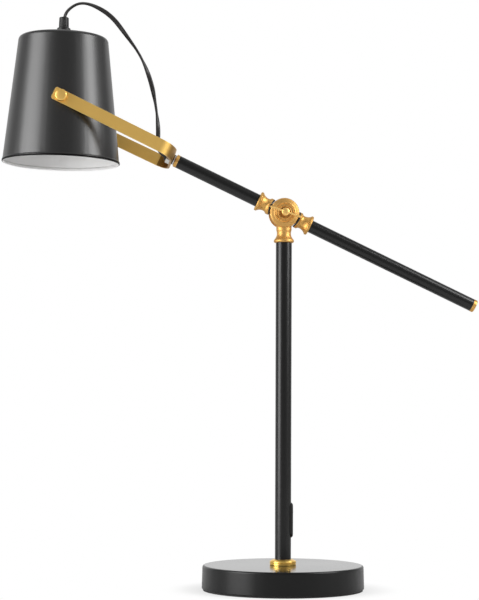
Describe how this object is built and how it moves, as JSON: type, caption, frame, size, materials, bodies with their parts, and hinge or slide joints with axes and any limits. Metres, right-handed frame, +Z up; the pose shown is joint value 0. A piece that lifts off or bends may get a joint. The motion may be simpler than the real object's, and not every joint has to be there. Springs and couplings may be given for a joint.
{
  "type": "counterweight balance desk lamp",
  "caption": "Desk lamp with a heavy round base, an upright column, a tilting arm balanced by a weighted rear tube, and a bucket shade that swings in a forked yoke.",
  "frame": {"origin": "middle of the foam pad's underside, where the base stands on the table", "axes": "+Z up the column's axis; the arm lies in the XZ plane with the shade towards -X and the weighted end towards +X; the column's switch faces +X and the mains lead leaves the base at +Y"},
  "size_m": [0.5638, 0.194, 0.6908],
  "materials": {
    "black_paint": "gloss black enamel",
    "shade_paint": "gloss black outside, off-white inside",
    "aged_brass": "antique brass plating, lacquered, satin gloss",
    "zinc_steel": "bright zinc plating",
    "cast_weight": "as cast, unpainted",
    "bar_steel": "drawn bar, oiled",
    "foam_rubber": "matt black",
    "black_plastic": "black moulded plastic, low sheen",
    "black_spacer": "black fibre",
    "contact_brass": "bright",
    "lead_sheath": "black sheathed flex",
    "cord_weave": "dark flat flex, low sheen"
  },
  "bodies": {
    "stand": {"base_shell": "black_paint", "base_weight": "cast_weight", "base_pad": "foam_rubber", "mains_lead_bush": "foam_rubber", "column_foot_plug": "zinc_steel", "column_nipple": "zinc_steel", "foot_washer": "zinc_steel", "foot_nut": "zinc_steel", "foot_collar": "aged_brass", "column_tube": "black_paint", "switch_housing": "black_plastic", "rocker_pin": "zinc_steel", "switch_terminals": "contact_brass", "column_lead": "lead_sheath", "column_knuckle": "aged_brass", "clamp_washer": "aged_brass", "clamp_nut": "zinc_steel", "friction_washers": "zinc_steel"},
    "rocker": {"switch_rocker": "black_plastic"},
    "clamp": {"clamp_screw": "aged_brass", "clamp_bar": "aged_brass"},
    "arm": {"arm_knuckle": "aged_brass", "front_arm_collar": "aged_brass", "rear_arm_collar": "aged_brass", "front_gap_ring": "black_spacer", "rear_gap_ring": "black_spacer", "front_arm_tube": "black_paint", "rear_arm_tube": "black_paint", "counterweight_bar": "bar_steel", "rear_end_cap": "aged_brass", "arm_ferrule": "aged_brass", "ferrule_washer": "black_spacer", "yoke_locknut": "zinc_steel", "yoke_spacer": "black_spacer", "yoke_nipple": "zinc_steel", "yoke_nut": "zinc_steel", "nipple_bush": "black_plastic", "yoke": "aged_brass", "arm_lead": "lead_sheath", "shade_cord": "cord_weave"},
    "shade": {"shade_shell": "shade_paint", "pivot_bushes": "zinc_steel", "pivot_washers": "black_spacer", "lampholder_cap": "black_plastic", "lampholder_body": "black_plastic", "screw_shell": "contact_brass", "centre_contact": "contact_brass", "holder_nipple": "zinc_steel", "holder_nut": "zinc_steel", "cord_gland": "black_plastic"},
    "near_knob": {"near_pivot_knob": "aged_brass"},
    "far_knob": {"far_pivot_knob": "aged_brass"}
  },
  "joints": [
    {"name": "arm_tilt", "type": "hinge", "parent": "stand", "child": "arm", "pos_m": [0, 0, 0.4451], "axis": [0, 1, 0], "range_deg": [-54, 3]},
    {"name": "shade_tilt", "type": "hinge", "parent": "arm", "child": "shade", "pos_m": [-0.26137, 0, 0.56865], "axis": [0, 1, 0], "range_deg": [-6, 50], "deforming": ["shade_cord"]},
    {"name": "rocker_toggle", "type": "hinge", "parent": "stand", "child": "rocker", "pos_m": [0.0069, 0, 0.0826], "axis": [0, 1, 0], "range_deg": [-14, 0]},
    {"name": "clamp_turn", "type": "hinge", "parent": "stand", "child": "clamp", "pos_m": [0, -0.0201, 0.4451], "axis": [0, -1, 0], "range_deg": [0, 360]},
    {"name": "near_knob_turn", "type": "hinge", "parent": "shade", "child": "near_knob", "pos_m": [-0.26137, -0.07, 0.56865], "axis": [0, -1, 0], "range_deg": [0, 360]},
    {"name": "far_knob_turn", "type": "hinge", "parent": "shade", "child": "far_knob", "pos_m": [-0.26137, 0.07, 0.56865], "axis": [0, 1, 0], "range_deg": [0, 360]}
  ]
}
